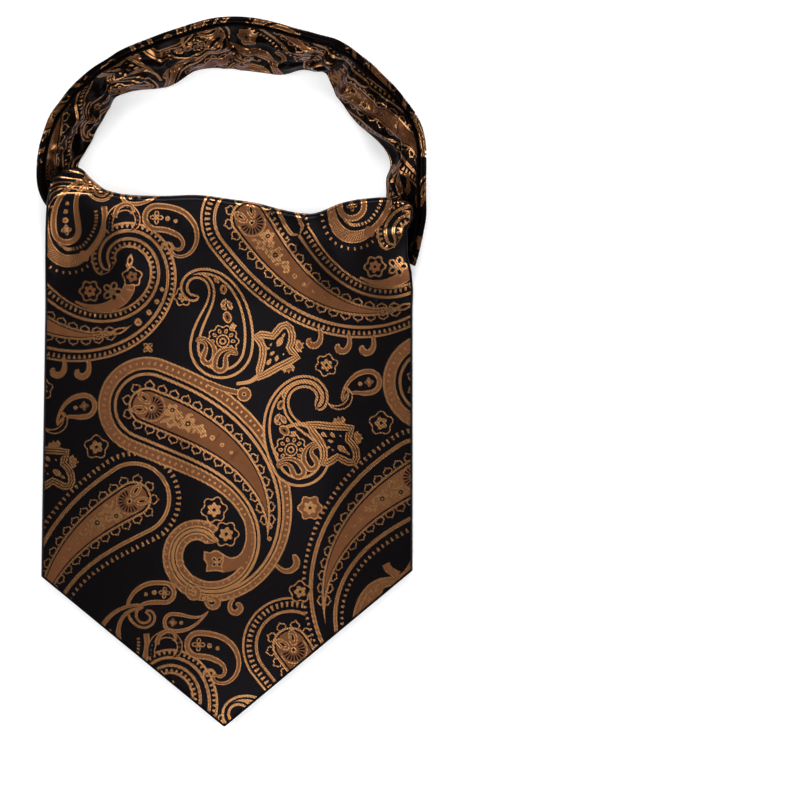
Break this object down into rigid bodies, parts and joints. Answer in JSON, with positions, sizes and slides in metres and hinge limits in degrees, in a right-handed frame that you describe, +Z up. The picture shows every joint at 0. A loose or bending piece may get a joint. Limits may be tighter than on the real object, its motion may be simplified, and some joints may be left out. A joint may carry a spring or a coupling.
{
  "type": "silk cravat",
  "caption": "Self-tie cravat in paisley silk laid flat: a pointed blade folded over its crossed ends, with the gathered neckband in an open loop.",
  "frame": {"origin": "middle of the footprint on the surface that the cravat lies on", "axes": "+Y from the blade's point to the back of the neck loop, +Z up out of the visible side, +X to the right"},
  "size_m": [0.1627, 0.2966, 0.025],
  "materials": {
    "blade_silk": "black satin silk with a woven gold and brown paisley, low sheen",
    "neckband_silk": "the same woven paisley silk, gathered"
  },
  "bodies": {
    "root": {"front_blade": "blade_silk", "back_blade": "blade_silk", "crossing": "blade_silk", "neckband_face": "neckband_silk", "neckband_back": "neckband_silk"}
  },
  "joints": []
}
